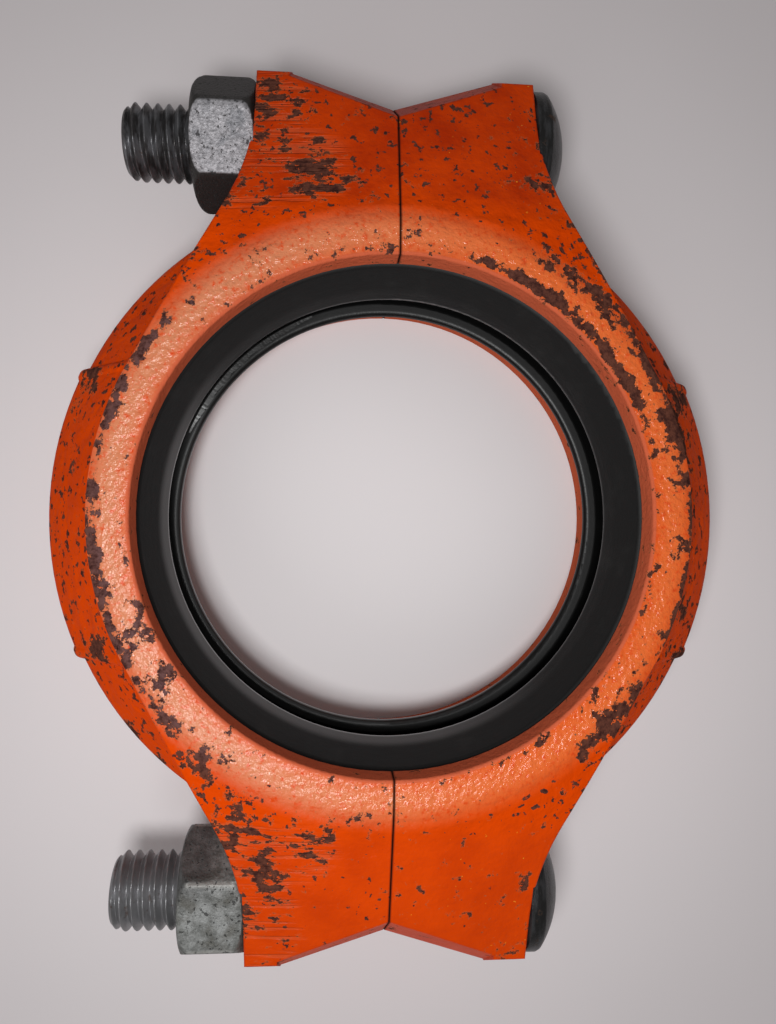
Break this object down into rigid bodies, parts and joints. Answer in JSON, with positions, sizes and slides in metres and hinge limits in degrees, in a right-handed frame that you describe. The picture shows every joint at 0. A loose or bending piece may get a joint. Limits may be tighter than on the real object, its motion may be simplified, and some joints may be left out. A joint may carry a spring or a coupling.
{
  "type": "grooved pipe coupling",
  "caption": "Flexible coupling that clamps two grooved pipe ends: painted cast halves around a rubber gasket, drawn together by bolts with domed heads and hexagon nuts.",
  "frame": {"origin": "middle of the bore, halfway between the two keyed faces", "axes": "+Z along the bore towards the viewer of the picture, +Y from one bolt towards the other, +X from the nuts towards the bolt heads"},
  "size_m": [0.14, 0.1908, 0.0478],
  "materials": {
    "housing_paint": "orange paint over a rough casting, chipped and rusted in patches",
    "gasket_rubber": "matt black moulded rubber",
    "bolt_steel": "dull dark zinc, bright on the thread crests",
    "nut_zinc": "mottled hot-dip zinc"
  },
  "bodies": {
    "left_half": {"left_housing": "housing_paint", "gasket": "gasket_rubber"},
    "right_half": {"right_housing": "housing_paint", "top_bolt": "bolt_steel", "bottom_bolt": "bolt_steel"},
    "top_nut": {"top_nut": "nut_zinc"},
    "bottom_nut": {"bottom_nut": "nut_zinc"}
  },
  "joints": [
    {"name": "top_nut_turn", "type": "hinge", "parent": "left_half", "child": "top_nut", "pos_m": [-0.0352, 0.0789, 0], "axis": [-1, 0, 0], "range_deg": [0, 1800]},
    {"name": "bottom_nut_turn", "type": "hinge", "parent": "left_half", "child": "bottom_nut", "pos_m": [-0.0352, -0.0789, 0], "axis": [-1, 0, 0], "range_deg": [0, 1800]},
    {"name": "halves_open", "type": "slide", "parent": "left_half", "child": "right_half", "axis": [1, 0, 0], "range_m": [0, 0.01154]}
  ],
  "couplings": [
    {"joint": "top_nut_turn", "follows": "halves_open", "rad_per_m": 2721.1},
    {"joint": "bottom_nut_turn", "follows": "halves_open", "rad_per_m": 2721.1}
  ]
}
